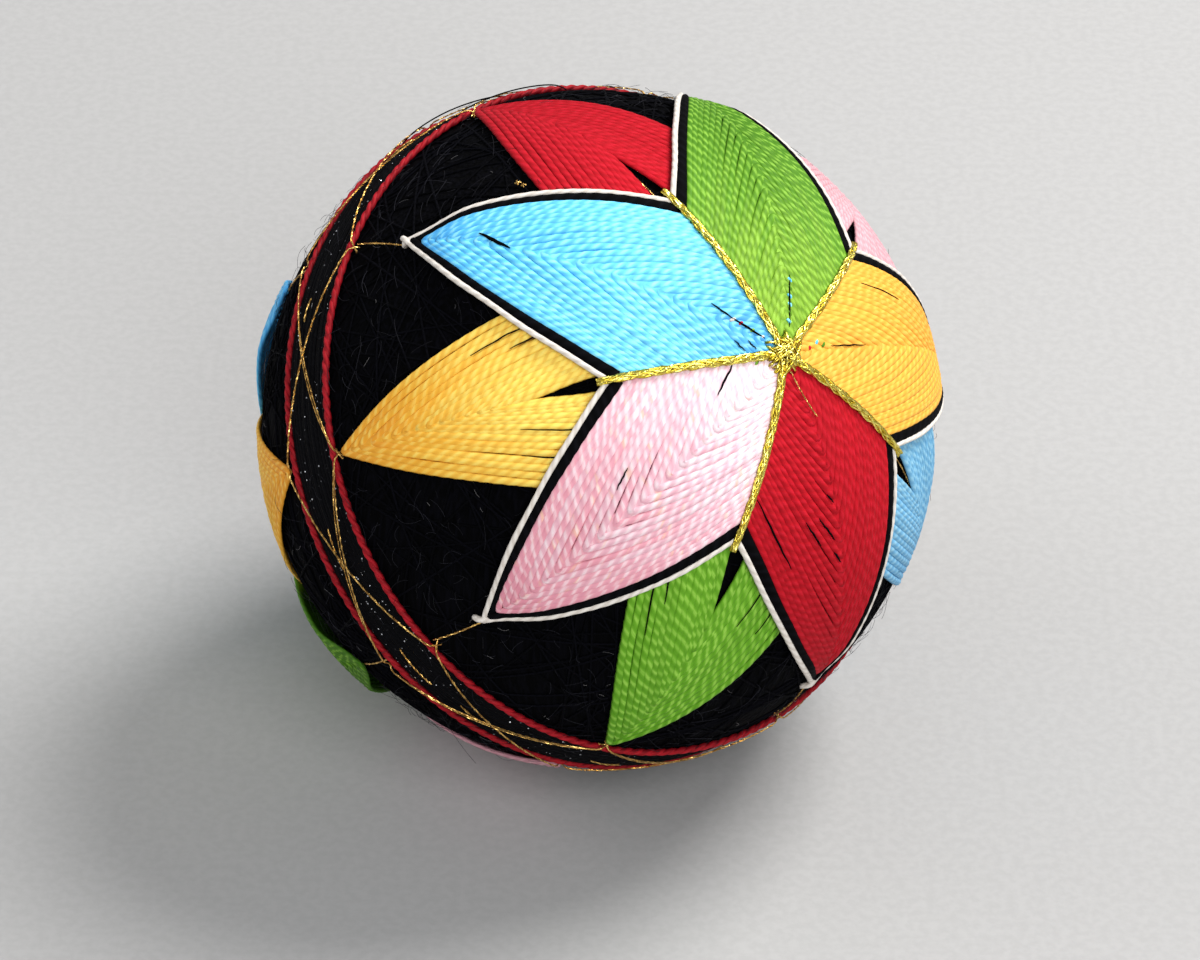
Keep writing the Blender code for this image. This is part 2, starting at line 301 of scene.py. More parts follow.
class Threads:
    """Gathers swept threads into one piece. Each has its place in the map that colours are baked to."""

    def __init__(self, flat=False):
        self.flat = flat
        self.laid = []

    def sweep(self, points, ups, width, height, form=LAID, ripple=0.0, ply=PLY_MARK, turn=0.0, tone=None,
              reach=0.0):
        """Sweeps a section along points. turn is how far the section turns, in turns a metre."""
        angles, radii = form
        along = np.concatenate([[0], np.cumsum(np.linalg.norm(np.diff(points, axis=0), axis=1))])
        ahead = unit(np.gradient(points, axis=0))
        side = unit(np.cross(ups, ahead))
        up = np.cross(ahead, side)
        start = draw.uniform(0, 0.5)
        tone = draw.uniform(0, 1) if tone is None else tone
        swell = 1 + ripple * np.cos(2 * angles + 2 * math.pi * (along[:, None] + start) / ply)
        around = angles + 2 * math.pi * turn * along[:, None]
        width, height = (np.broadcast_to(x, along.shape)[:, None] for x in (width, height))
        x, y = width * radii * swell * np.cos(around), height * radii * swell * np.sin(around)
        verts = points[:, None] + side[:, None] * x[..., None] + up[:, None] * y[..., None]
        self.laid.append({
            "verts": verts, "along": along, "start": start, "angles": angles,
            "tone": tone, "reach": np.broadcast_to(reach, along.shape),
        })

    def lay(self, u, lift, width, height, aside=0.0, **how):
        """Lays a thread along directions u of the ball, at a lift, moved aside by a distance."""
        if np.any(aside):
            side = unit(np.cross(u, np.gradient(u, axis=0)))
            u = unit(u + side * (np.broadcast_to(aside, len(u)) / EQUATOR_RADIUS)[:, None])
        self.sweep(on_ball(u, np.broadcast_to(lift, len(u))), u, width, height, **how)

    def piece(self, name, nodes, finish):
        """Makes the piece, in the row's frame, riding on the root body."""
        lengths = [item["along"][-1] for item in self.laid]
        square_side = math.sqrt(sum(lengths) * ROW_WIDTH)
        row_length = max(SHORTEST_ROW, min(max(lengths), 1.1 * square_side))
        row_counts = [max(1, math.ceil(length / row_length)) for length in lengths]
        rows = sum(row_counts)
        verts, faces, threads, bakes, tones, reaches = [], [], [], [], [], []
        row = count = 0
        for item, used in zip(self.laid, row_counts):
            rings, sides = item["verts"].shape[:2]
            faces += [quads + count for quads in swept_faces(rings, sides)]
            thread, baked = swept_maps(item, row, row_length, rows)
            threads.append(thread)
            bakes.append(baked)
            verts.append(item["verts"].reshape(-1, 3))
            tones.append(np.full(rings * sides, item["tone"]))
            reaches.append(np.repeat(item["reach"], sides))
            count += rings * sides
            row += used
        places = np.concatenate(verts) @ LEAN.T + CENTRE
        places[:, 2] = np.maximum(places[:, 2], 0)
        mesh = bpy.data.meshes.new(name)
        mesh.from_pydata(places, [], np.concatenate(faces))
        for map_name, corners in (("thread", threads), ("OFBake", bakes)):
            mesh.uv_layers.new(name=map_name).uv.foreach_set(
                "vector", np.concatenate(corners).astype(np.float32).ravel())
        for made, values in (("tone", tones), ("reach", reaches)):
            mesh.attributes.new(made, "FLOAT", "POINT").data.foreach_set(
                "value", np.concatenate(values).astype(np.float32))
        if not self.flat:
            mesh.shade_smooth()
        show(name, mesh, nodes, finish)


def show(name, mesh, nodes, finish):
    mesh.materials.append(finish)
    made = bpy.data.objects.new(name, mesh)
    bpy.context.scene.collection.objects.link(made)
    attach(made, "root")
    if nodes:
        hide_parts(*nodes)
    return made


# ---------------------------------------------------------------- finishes


class Value:
    """A socket that takes arithmetic. Each operation adds a Math node."""

    def __init__(self, tree, socket):
        self.tree, self.socket = tree, socket

    def maths(self, operation, *values):
        node = self.tree.nodes.new("ShaderNodeMath")
        node.operation = operation
        for socket, value in zip(node.inputs, values):
            put(self.tree, socket, value)
        return Value(self.tree, node.outputs[0])

    def __add__(self, other):
        return self.maths("ADD", self, other)

    __radd__ = __add__

    def __sub__(self, other):
        return self.maths("SUBTRACT", self, other)

    def __rsub__(self, other):
        return self.maths("SUBTRACT", other, self)

    def __mul__(self, other):
        return self.maths("MULTIPLY", self, other)

    __rmul__ = __mul__

    def __truediv__(self, other):
        return self.maths("DIVIDE", self, other)

    def __rtruediv__(self, other):
        return self.maths("DIVIDE", other, self)

    def cosine(self):
        return self.maths("COSINE", self)

    def sine(self):
        return self.maths("SINE", self)

    def fraction(self):
        return self.maths("FRACT", self)

    def absolute(self):
        return self.maths("ABSOLUTE", self)


def put(tree, socket, value):
    """Sets a socket to a number or colour, or links a value to it."""
    if isinstance(value, Value):
        tree.links.new(value.socket, socket)
    elif isinstance(value, bpy.types.NodeSocket):
        tree.links.new(value, socket)
    else:
        socket.default_value = value


class Finish:
    """A material and what its nodes are made with."""

    def __init__(self, name, **uniform):
        self.material = bpy.data.materials.new(name)
        self.material.use_nodes = True
        self.tree = self.material.node_tree
        self.shader = self.tree.nodes["Principled BSDF"]
        for key, value in uniform.items():
            self.shader.inputs[key.replace("_", " ").title().replace("Ior", "IOR")].default_value = value

    def add(self, kind, settings, sockets):
        node = self.tree.nodes.new("ShaderNode" + kind)
        for key, value in settings.items():
            setattr(node, key, value)
        for key, value in sockets.items():
            put(self.tree, node.inputs[key], value)
        return node

    def value(self, node, output=0):
        return Value(self.tree, node.outputs[output])

    def thread(self):
        """How far along a thread a point is, in metres, and how far round it, in turns."""
        at = self.add("SeparateXYZ", {}, {0: self.add("UVMap", {"uv_map": "thread"}, {}).outputs[0]})
        return self.value(at, 0), self.value(at, 1)

    def attribute(self, name):
        return self.value(self.add("Attribute", {"attribute_name": name}, {}), "Fac")

    def vector(self, x, y, z):
        return self.add("CombineXYZ", {}, {0: x, 1: y, 2: z}).outputs[0]

    def noise(self, at, scale, detail=2.0, roughness=0.5):
        sockets = {"Vector": at, "Scale": scale, "Detail": detail, "Roughness": roughness}
        return self.value(self.add("TexNoise", {}, sockets), "Fac")

    def smooth(self, value, low, high, to=(0.0, 1.0)):
        node = self.add("MapRange", {"interpolation_type": "SMOOTHSTEP"},
                        {0: value, 1: low, 2: high, 3: to[0], 4: to[1]})
        return self.value(node)

    def mix(self, factor, a, b):
        """A colour from a to b. These are the colour sockets of a Mix node."""
        return self.add("Mix", {"data_type": "RGBA"}, {0: factor, 6: a, 7: b}).outputs[2]

    def ramp(self, value, stops):
        """A colour from a list of (position, colour)."""
        node = self.add("ValToRGB", {}, {0: value})
        marks = node.color_ramp.elements
        while len(marks) < len(stops):
            marks.new(0.5)
        for mark, (position, colour) in zip(marks, stops):
            mark.position, mark.color = position, colour
        return node.outputs[0]

    def bump(self, height, distance, strength=1.0):
        sockets = {"Strength": strength, "Distance": distance, "Height": height}
        return self.add("Bump", {}, sockets).outputs[0]

    def wear(self, **sockets):
        for key, value in sockets.items():
            put(self.tree, self.shader.inputs[key.replace("_", " ").title()], value)
        return self.material


BLACK = (0.0, 0.0, 0.0, 1.0)


def srgb(code):
    """A linear colour from six hexadecimal digits."""
    parts = [int(code[i:i + 2], 16) / 255 for i in (0, 2, 4)]
    return tuple(x / 12.92 if x <= 0.04045 else ((x + 0.055) / 1.055) ** 2.4 for x in parts) + (1.0,)


def cotton(name, stops, shadow, light, gleam=0.5, soft=0.5, vary=0.3, ply=PLY_MARK, roughness=0.6,
           specular=0.16, fleck=None):
    """Twisted two-ply cotton. stops colour it from a petal's tip to its pole, shadow is the colour of the
    painted shade in its grooves and down its lower sides, and light that of the painted highlights on the
    lozenges where its plies come to the top. soft is how faint the painted groove shade is, gleam how bright
    the painted highlights and vary how uneven the dye. fleck is the colour of odd fibres."""
    f = Finish(name, roughness=roughness, specular_ior_level=specular)
    along, around = f.thread()
    tone, reach = f.attribute("tone"), f.attribute("reach")
    drift = f.noise(f.vector(along * 160.0, tone * 40, 3.0), 1.0, 1.0)
    plies = around * 2 + along / ply + drift * 1.6
    crown = (plies * (2 * math.pi)).cosine()
    top = (around * (2 * math.pi)).sine()
    seed = tone * 40
    fibres = f.noise(f.vector(plies * 3.0, along * 300.0, seed), 3.0, 3.0, 0.6)
    patches = f.noise(f.vector(along * 130.0, seed, reach * 2.0), 1.0, 2.0)
    base = f.ramp(reach + (patches - 0.5) * vary + (tone - 0.5) * vary * 0.35, stops)
    # Painted shade: the shadow colour darkens the grooves between the plies and the lower sides of each
    # thread.
    painted_groove_shade = f.smooth(crown, -1.0, 0.1, (1.0 - soft, 0.0)) + f.smooth(top, 0.45, -0.1, (0.0, 0.6))
    colour = f.mix(painted_groove_shade * f.smooth(fibres, 0.25, 0.7, (1.0, 0.55)), base, shadow)
    if fleck:
        spots = f.noise(f.vector(along * 420.0, plies * 1.3, seed + 9.0), 1.0, 1.0)
        colour = f.mix(f.smooth(spots, 0.60, 0.76) * 0.6, colour, fleck)
    # Painted highlight: the light colour on the lozenges where the plies come to the top of the thread.
    painted_highlight = f.smooth(crown, 0.0, 0.95) * f.smooth(top, 0.45, 0.95)
    painted_highlight = painted_highlight * f.smooth(patches, 0.3, 0.6, (0.5, 1.0))
    colour = f.mix(painted_highlight * f.smooth(fibres, 0.3, 0.6, (0.5, 1.0)) * gleam, colour, light)
    colour = f.mix(f.smooth(tone, 0.0, 1.0, (0.0, 0.10)), colour, BLACK)
    return f.wear(base_color=colour, normal=f.bump(crown * 0.4 + fibres * 0.45, 0.00005, 0.6),
                  roughness=f.smooth(fibres, 0.2, 0.8, (roughness + 0.1, roughness - 0.1)))


def foil(name, bright, deep, roughness=0.24):
    """Metallic thread: a foil strip wound round a core. Its facets are painted brighter or deeper gold as
    painted glints, and its seams are painted with shade.
    """
    f = Finish(name, metallic=1.0)
    along, around = f.thread()
    tone = f.attribute("tone")
    wraps = (along / FOIL_WRAP + around).fraction()
    # Painted glints: this noise paints the gold brighter or deeper, as light would catch the facets; it also
    # bumps them.
    facets_and_painted_glints = f.noise(f.vector(along * 750.0, around * 3.0, tone * 30), 1.0, 1.0)
    # Painted shade: the seams between the wraps of foil are darkened.
    seam = f.smooth((wraps - 0.5).absolute(), 0.34, 0.5)
    colour = f.mix(f.smooth(facets_and_painted_glints, 0.38, 0.62), bright, deep)
    colour = f.mix(seam * 0.35, colour, (0.12, 0.08, 0.008, 1.0))
    return f.wear(base_color=colour, normal=f.bump(facets_and_painted_glints * 0.8 - seam * 0.6, 0.00005, 0.7),
                  roughness=f.smooth(facets_and_painted_glints, 0.2, 0.8, (roughness - 0.08, roughness + 0.16)))


def glitter_black(name):
    """Black thread with fine bright flakes in it."""
    f = Finish(name, specular_ior_level=0.04)
    along, around = f.thread()
    tone = f.attribute("tone")
    at = f.vector(along * 4200.0, around * 9.0, tone * 50)
    cells = f.add("TexVoronoi", {"feature": "F1"}, {"Vector": at, "Scale": 1.0})
    picked = f.value(f.add("SeparateColor", {}, {0: cells.outputs["Color"]}), 0)
    clusters = f.smooth(f.noise(f.vector(along * 110.0, tone * 9, 0.0), 1.0, 1.0), 0.44, 0.60)
    flakes = f.smooth(picked, 0.962, 0.972) * f.smooth(f.value(cells, "Distance"), 0.5, 0.3) * clusters
    plies = around * 2 + along / BAND_PLY
    crown = (plies * (2 * math.pi)).cosine()
    fibres = f.noise(f.vector(plies * 4.0, along * 500.0, tone * 20), 3.0, 2.0)
    dark = f.mix(f.smooth(fibres, 0.3, 0.8), (0.0008, 0.0008, 0.0011, 1), (0.0035, 0.0035, 0.005, 1))
    return f.wear(base_color=f.mix(flakes, dark, (0.85, 0.87, 0.92, 1)), metallic=flakes,
                  roughness=f.smooth(flakes, 0.0, 1.0, (0.62, 0.2)),
                  normal=f.bump(crown * 0.4 + fibres * 0.4 + picked * flakes, 0.00009, 0.9))


def wound_black(name):
    """The bare ball under its last windings: fine black threads that cross each other."""
    f = Finish(name, roughness=0.9, specular_ior_level=0.03)
    at = f.add("TexCoord", {}, {}).outputs["Object"]
    height = 0.0
    for turn in ((0.3, 0.5, 0.2), (1.4, 0.2, 1.9), (2.3, 1.1, 0.7)):
        turned = f.add("Mapping", {}, {0: at, "Rotation": turn, "Scale": (900.0, 900.0, 60.0)}).outputs[0]
        height = f.noise(turned, 2.0, 1.0) + height
    colour = f.mix(f.smooth(height, 1.2, 1.9), (0.0006, 0.0006, 0.0008, 1), (0.0018, 0.0018, 0.0030, 1))
    return f.wear(base_color=colour, normal=f.bump(height, 0.00025, 1.0))


def fine_black(name):
    """The last windings of fine black sewing thread."""
    f = Finish(name, roughness=0.8, specular_ior_level=0.035)
    along, around = f.thread()
    tone = f.attribute("tone")
    plies = around * 2 + along / WINDING_PLY
    crown = (plies * (2 * math.pi)).cosine()
    fibres = f.noise(f.vector(plies * 3.0, along * 700.0, tone * 30), 2.0, 2.0)
    colour = f.mix(f.smooth(fibres + tone * 0.4, 0.4, 1.0),
                   (0.0005, 0.0005, 0.0008, 1), (0.0022, 0.0022, 0.0040, 1))
    return f.wear(base_color=colour, normal=f.bump(crown * 0.5 + fibres * 0.5, 0.00004, 0.9))


def fluff(name, colour, other):
    """Loose fibres."""
    f = Finish(name, roughness=0.8, specular_ior_level=0.2)
    return f.wear(base_color=f.mix(f.attribute("tone"), colour, other))


# In each cotton finish, shadow is the colour of painted shade and light that of painted highlights.
FINISHES = {
    "blue": cotton(
        "blue_cotton", gleam=0.5, shadow=srgb("3C93DC"), light=srgb("B4FBFF"),
        stops=[(0.0, srgb("4FAFF0")), (0.3, srgb("66CBF8")), (0.65, srgb("78DCFA")), (1.0, srgb("4C9EDF"))]),
    "pink": cotton(
        "pink_cotton", gleam=0.5, soft=0.6, vary=0.8,
        shadow=srgb("D288A0"), light=srgb("FFF8FA"), fleck=srgb("F6C8A8"),
        stops=[(0.0, srgb("DC909E")), (0.3, srgb("EAA8B4")), (0.6, srgb("F3C6D1")), (0.85, srgb("FAE6EC"))]),
    "red": cotton(
        "red_cotton", gleam=0.4, roughness=0.8, shadow=srgb("8A0614"), light=srgb("CC2036"),
        stops=[(0.0, srgb("A80C1C")), (0.5, srgb("B4081A")), (1.0, srgb("B40C1C"))]),
    "yellow": cotton(
        "yellow_cotton", gleam=0.35, shadow=srgb("DE9430"), light=srgb("FFDC70"),
        stops=[(0.0, srgb("E89A34")), (0.4, srgb("EFAE40")), (1.0, srgb("F0B046"))]),
    "green": cotton(
        "green_cotton", gleam=0.5, shadow=srgb("38680C"), light=srgb("A4D654"),
        stops=[(0.0, srgb("42720E")), (0.3, srgb("4A7E14")), (0.55, srgb("5A8E1E")), (1.0, srgb("8EB63A"))]),
    "white": cotton(
        "white_cotton", gleam=0.4, soft=0.5, shadow=srgb("B4A89C"), light=srgb("F4F0EA"),
        stops=[(0.0, srgb("DCD4CA")), (1.0, srgb("E4DED6"))]),
    "black": cotton(
        "black_cotton", gleam=0.4, roughness=0.8, specular=0.04,
        shadow=(0.0005, 0.0005, 0.0006, 1), light=srgb("121218"),
        stops=[(0.0, srgb("050507")), (1.0, srgb("070709"))]),
    "cord": cotton(
        "red_cord_cotton", gleam=0.35, ply=CORD_PLY, shadow=srgb("5C0410"), light=srgb("C82438"),
        stops=[(0.0, srgb("900814")), (1.0, srgb("A00C1A"))]),
    "gold": foil("gold_foil", (1.0, 0.87, 0.20, 1), (0.60, 0.45, 0.04, 1)),
    # Painted shade: a darker copy of the gold foil, for the fine gold threads as they look in shade.
    "gold_in_painted_shade": foil("fine_gold_foil_in_painted_shade", (0.90, 0.58, 0.18, 1), (0.34, 0.18, 0.045, 1), roughness=0.3),
    "glitter": glitter_black("glitter_black_thread"),
    "ball": wound_black("wound_black_thread"),
    "windings": fine_black("fine_black_thread"),
}
LOWER_FINISHES = {
    "yellow": cotton(
        "deep_yellow_cotton", gleam=0.5, shadow=srgb("E09A2C"), light=srgb("FFEC80"),
        stops=[(0.0, srgb("E8962A")), (0.2, srgb("F6B83C")), (0.45, srgb("FFDC62"))]),
    "green": cotton(
        "deep_green_cotton", gleam=0.5, shadow=srgb("46800E"), light=srgb("B4E664"),
        stops=[(0.0, srgb("5C9A18")), (0.45, srgb("6CAA26"))]),
    "blue": cotton(
        "deep_blue_cotton", gleam=0.4, shadow=srgb("4C90C4"), light=srgb("B4E0F0"),
        stops=[(0.0, srgb("5CA4D4")), (0.5, srgb("78B4D4"))]),
    "pink": cotton(
        "deep_pink_cotton", gleam=0.4, shadow=srgb("BC808C"), light=srgb("F0CCD0"),
        stops=[(0.0, srgb("CC949E")), (0.5, srgb("D8A4AC"))]),
}


# ---------------------------------------------------------------- the ball

RINGS, SPOKES = 90, 180
WINDINGS = 110


def make_ball():
    theta = np.linspace(0, math.pi, RINGS + 1)[1:-1]
    phi = np.arange(SPOKES) * 2 * math.pi / SPOKES
    t, p = np.meshgrid(theta, phi, indexing="ij")
    u = np.stack([np.sin(t) * np.cos(p), np.sin(t) * np.sin(p), np.cos(t)], -1).reshape(-1, 3)
    u = np.concatenate([[(0, 0, 1.0)], u, [(0, 0, -1.0)]]) @ LEAN
    faces = []
    last = len(u) - 1
    for j in range(SPOKES):
        k = (j + 1) % SPOKES
        faces.append((0, 1 + j, 1 + k))
        for i in range(RINGS - 2):
            a = 1 + i * SPOKES
            faces.append((a + j, a + SPOKES + j, a + SPOKES + k, a + k))
        a = 1 + (RINGS - 2) * SPOKES
        faces.append((a + j, last, a + k))
    mesh = bpy.data.meshes.new("wound_ball")
    mesh.from_pydata(on_ball(u, 0.0) @ LEAN.T + CENTRE, [], faces)
    mesh.shade_smooth()
    ball = show("wound_ball", mesh, ["mari_ball"], FINISHES["ball"])


def make_windings():
    """Great circles of fine thread in every direction."""
    windings = Threads()
    t = np.linspace(0, 2 * math.pi, 150)
    for _ in range(WINDINGS):
        axis = unit(draw.normal(size=3))
        first = unit(np.cross(axis, draw.normal(size=3)))
        u = first * np.cos(t)[:, None] + np.cross(axis, first) * np.sin(t)[:, None]
        sway = 0.012 * np.sin(t * draw.integers(1, 4) + draw.uniform(0, 6)) * draw.uniform(0.3, 1)
        u = unit(u + axis * (sway + draw.uniform(-0.12, 0.12))[:, None])
        lift = 0.00004 + 0.00012 * draw.uniform()
        windings.lay(u, lift, 0.00016, 0.00013, form=FINE)
    windings.piece("ball_windings", [], FINISHES["windings"])


# ---------------------------------------------------------------- petals

laid_at = {}  # how far in each petal's Vs lie, as shares
SPINE_HALF, SPINE_HEIGHT = 0.0011, 0.00028
UPPER_SPINE_INSET, UPPER_SPINE_END = 1.2, 3.0
LOWER_SPINE = (LOWER_TIP - 2.5, LOWER_HEART + 9.0)
UNEVEN_LIFT = 0.00004
UPPER_LAY = {"lift": 0.00036, "height": 0.00034, "drift": 0.00005}
LOWER_LAY = {"lift": 0.00030, "height": 0.00032, "drift": 0.00006}


def v_path(arm, pole, longitude, inwards, laid):
    """Directions along one V of thread, from the end of its left arm round its point to its right end."""
    arms = []
    for side in (-1, 1):
        ends = arm(pole, longitude, inwards, side, [0, 1])
        length = angle_between(*ends) * EQUATOR_RADIUS * laid(side)
        shares = np.linspace(0, laid(side), max(4, round(length / STEP)))
        arms.append(arm(pole, longitude, inwards, side, shares))
    u = np.concatenate([arms[0][:0:-1], arms[1]])
    turn = len(arms[0]) - 1
    for _ in range(2):
        near = slice(max(1, turn - 1), min(len(u) - 1, turn + 2))
        u[near] = unit(u[near.start - 1:near.stop - 1] + 2 * u[near] + u[near.start + 1:near.stop + 1])
    return u


def wander(u, size):
    """A slow sideways drift, zero at both ends."""
    s = np.linspace(0, 1, len(u))
    return size * sum(draw.uniform(-1, 1) * np.sin(math.pi * n * s) for n in (2, 3, 5, 7))


def lay_spine(threads, pole, longitude, start, end, base, outermost):
    """A flat thread down a petal's middle, just under the points of its Vs, so that no ball shows there."""
    colatitudes = np.arange(start, end, -math.degrees(STEP / EQUATOR_RADIUS))
    u = pole_direction(pole, colatitudes, np.full_like(colatitudes, longitude))
    taper = np.clip((start - colatitudes) / 6.0, 0.3, 1.0)
    threads.lay(u, base(pole, u) + SPINE_HEIGHT, SPINE_HALF * taper, SPINE_HEIGHT, tone=0.5,
                reach=1 - colatitudes / outermost)


def lay_v(threads, u, base, how, reach):
    """One V of thread, a little uneven in height and path."""
    threads.lay(u, base + how["lift"] + draw.uniform(-1, 1) * UNEVEN_LIFT, THREAD_HALF, how["height"],
                aside=wander(u, how["drift"]), ripple=0.06, reach=reach)


def make_upper_petal(pole, longitude, colour):
    threads = Threads()
    inwards = FIRST_V[pole]
    tip = UPPER_TIP + strays(pole, longitude)["tip"]
    start = tip * (1 - 0.6 * inwards) - UPPER_SPINE_INSET
    lay_spine(threads, pole, longitude, start, UPPER_SPINE_END, upper_base, UPPER_TIP)
    while inwards < LAST_V:
        laid_at.setdefault((pole, "upper", longitude), []).append(inwards)
        u = v_path(upper_arm, pole, longitude, inwards, lambda side: ARM_LAID)
        lay_v(threads, u, upper_base(pole, u), UPPER_LAY, 1 - colatitude_from(pole, u) / UPPER_TIP)
        inwards += THREAD_PITCH * draw.uniform(0.97, 1.03)
    threads.piece(f"{pole}_upper_{colour}_threads", [f"{pole}_upper_petal_{colour}"],
                  FINISHES[colour])


def lower_base(pole, u):
    return np.full(len(u), LOWER_BASE)


def make_lower_petal(pole, longitude, colour):
    threads = Threads()
    lay_spine(threads, pole, longitude, *LOWER_SPINE, lower_base, LOWER_TIP)
    for row in range(LOWER_THREADS):
        inwards = (row + 0.4) / (LOWER_THREADS - 0.6)
        laid_at.setdefault((pole, "lower", longitude % 360), []).append(inwards)
        u = v_path(lower_arm, pole, longitude, inwards,
                   lambda side: share_to_tuck(pole, longitude, inwards, side))
        lay_v(threads, u, LOWER_BASE, LOWER_LAY, 1 - colatitude_from(pole, u) / LOWER_TIP)
    threads.piece(f"{pole}_lower_{colour}_threads", [f"{pole}_lower_petal_{colour}"],
                  LOWER_FINISHES.get(colour, FINISHES[colour]))


EDGE_LIFT, EDGE_HEIGHT = 0.00040, 0.00036
EDGE_SINKS = 0.0005  # how far an edging thread's end goes down into the ball, past a petal's tip
CROSSING_RISE, CROSSING_REACH = 0.00022, 0.0012  # where one arm goes over the other at a petal's tip


def make_edge(name, inwards, half, past, node, finish, widens=0.0):
    """An edging thread. Its two arms cross at each petal's tip and go on for the two lengths in past.
    It widens inwards towards the petal's corners."""
    threads = Threads()
    for petal in range(5):
        longitude = petal * PETAL_STEP
        for side, beyond, rise in ((-1, past[0], 0.0), (1, past[1], CROSSING_RISE)):
            ends = upper_arm("north", longitude, inwards, side, [0, 1])
            length = angle_between(*ends) * EQUATOR_RADIUS
            shares = np.linspace(1, -beyond / length, round(length / (STEP * 0.8)))
            u = upper_arm("north", longitude, inwards, side, shares)
            over = np.clip(-shares * length / beyond, 0, 1)
            near_tip = np.exp(-((shares * length) / CROSSING_REACH) ** 2)
            lift = upper_base("north", u) + EDGE_LIFT - EDGE_SINKS * over**2 + rise * near_tip
            wider = widens * np.clip(shares, 0, 1)
            threads.lay(u, lift, half + wider, EDGE_HEIGHT, form=ROUND, ripple=0.05,
                        aside=wander(u, 0.00004) - side * wider, reach=0.5)
    threads.piece(name, [node], FINISHES[finish])


# ---------------------------------------------------------------- between the petals' threads

# Black strips in the gaps between threads, for the black ball that shows there and for painted shade in the
# gaps:
# the colatitude and longitude of each end, and half the width
SLITS = (
    ((54.2, -1.6), (48.2, 0.6), 0.00022),
    ((14.8, -6.6), (10.6, -5.2), 0.00012),
    ((11.0, -5.0), (4.2, -8.2), 0.00014),
    ((14.2, -76.8), (4.8, -80.8), 0.00010),
    ((10.0, -141.2), (18.6, -143.4), 0.00009),
)
# The same along an upper petal's arm: its longitude, the share of the way in, the side, two shares of
# the arm and half the width
ARM_SLITS = (
    (72.0, 0.69, -1, (0.58, 0.96), 0.00013),
    (72.0, 0.387, -1, (0.30, 0.42), 0.00010),
    (144.0, 0.42, -1, (0.33, 0.52), 0.00011),
    (144.0, 0.51, -1, (0.12, 0.34), 0.00012),
    (144.0, 0.46, -1, (0.04, 0.14), 0.00013),
    (144.0, 0.215, -1, (0.62, 0.97), 0.00013),
    (144.0, 0.60, -1, (0.05, 0.16), 0.00010),
    (0.0, 0.80, 1, (0.60, 0.84), 0.00009),
    (0.0, 0.88, 1, (0.45, 0.75), 0.00008),
    (216.0, 0.30, 1, (0.55, 0.85), 0.00008),
)
# And along the arms of two lower petals
SLIT_LOWER_PETALS = (36.0, 108.0)
LOWER_SLITS = (
    (0.34, -1, (0.50, 0.75), 0.00011),
    (0.20, -1, (0.45, 0.70), 0.00009),
    (0.30, 1, (0.50, 0.78), 0.00010),
    (0.55, 1, (0.35, 0.62), 0.00008),
)
SLIT_HEIGHT = 0.00007
# Ends of other threads that show near the pole: where, and their colour
PEEPS = (
    ((10.4, -4.8), "white"), ((9.0, -5.8), "red"), ((6.7, -7.0), "green"), ((4.7, -7.8), "white"),
    ((5.5, 44.0), "green"),
    ((13.4, -77.2), "blue"), ((11.9, -77.8), "green"), ((10.4, -78.2), "blue"), ((8.9, -78.8), "blue"),
    ((7.4, -79.4), "green"), ((5.9, -80.2), "blue"),
    ((5.4, -139.4), "red"), ((7.4, -132.8), "blue"), ((8.7, -138.0), "green"),
)


def gap_near(kind, longitude, inwards):
    """The middle between the two Vs of a northern petal that are nearest to a share of the way in."""
    laid = np.array(laid_at["north", kind, longitude])
    return sum(laid[np.argsort(abs(laid - inwards))[:2]]) / 2


# A black strip at the top of the threads, in a gap: the black ball that shows there, and painted shade.
def lay_slit(threads, u, lift, half):
    s = np.linspace(0, 1, len(u))
    width = half * np.sin(math.pi * (0.06 + 0.88 * s)) ** 0.7
    threads.lay(u, lift + CREST, width, SLIT_HEIGHT, aside=wander(u, 0.00003))


def make_slits():
    """Fine black threads that lie sunk between others: the black ball that shows there, and painted shade in
    the gaps.
    """
    threads = Threads()
    for start, end, half in SLITS:
        a, b = direction(*start), direction(*end)
        steps = max(6, round(angle_between(a, b) * EQUATOR_RADIUS / STEP))
        u = along_arm(a, b, np.linspace(0, 1, steps), 0.0)
        lay_slit(threads, u, upper_base("north", u) + 0.00001, half)
    for longitude, inwards, side, (first, last), half in ARM_SLITS:
        gap = gap_near("upper", longitude, inwards)
        u = upper_arm("north", longitude, gap, side, np.linspace(first, last, 24))
        lay_slit(threads, u, upper_base("north", u) + 0.00001, half)
    for longitude in SLIT_LOWER_PETALS:
        for inwards, side, (first, last), half in LOWER_SLITS:
            gap = gap_near("lower", longitude, inwards)
            u = lower_arm("north", longitude, gap, side, np.linspace(first, last, 24))
            lay_slit(threads, u, LOWER_BASE - 0.00005, half)
    threads.piece("black_ball_and_painted_shade_between_threads", [], FINISHES["windings"])


def make_peeps():
    across = np.linspace(-1, 1, 7)
    for colour in ("white", "red", "green", "blue"):
        threads = Threads()
        for (colatitude, longitude), shown in PEEPS:
            if shown != colour:
                continue
            half = 0.36 / math.sin(math.radians(colatitude)) * draw.uniform(0.7, 1.2)
            u = direction(colatitude + 0.3 * across, longitude + half * across)
            lift = upper_base("north", u) + CREST - 0.00007 - 0.00014 * across**2
            threads.lay(u, lift, 0.00020, 0.00015, form=ROUND, reach=0.6, tone=0.3)
        threads.piece(f"{colour}_peeping_threads", [], FINISHES[colour])


# ---------------------------------------------------------------- gold star


RIB_STARTS = 2.0
RIB_LIFT, RIB_SINKS = 0.00098, 0.0002  # over the petals' base, and how far the rib's end goes down
RIB_CORE = (0.00046, 0.00020)
RIB_STRANDS, STRAND_WAVE, STRAND_SPREAD, STRAND_RISE = 4, 0.0078, 0.00038, 0.00014
HUB_STITCHES, HUB_LIFT = 34, 0.00085


